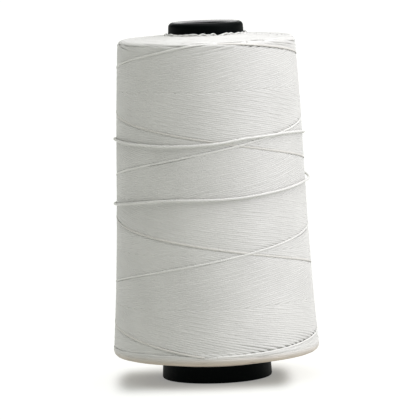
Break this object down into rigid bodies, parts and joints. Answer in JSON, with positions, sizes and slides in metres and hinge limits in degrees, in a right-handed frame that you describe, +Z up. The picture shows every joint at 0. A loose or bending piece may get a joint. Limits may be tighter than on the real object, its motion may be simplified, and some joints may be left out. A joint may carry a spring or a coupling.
{
  "type": "waxed thread spool",
  "caption": "Hollow tapered plastic core with a thick package of white waxed thread cross-wound on it, and a loose end of thread wrapped round the outside.",
  "frame": {"origin": "centre of the core's foot, on the surface the spool stands on", "axes": "+Z up along the core from its wide foot to its narrow nose, -Y the front of the package"},
  "size_m": [0.0978, 0.0982, 0.168],
  "materials": {
    "core_plastic": "satin moulded black",
    "waxed_thread": "waxed twisted thread, soft sheen"
  },
  "bodies": {
    "root": {"core_cone": "core_plastic", "anchor_turns": "waxed_thread", "thread_package": "waxed_thread", "rising_turns": "waxed_thread", "falling_turns": "waxed_thread", "loose_tail": "waxed_thread"}
  },
  "joints": []
}
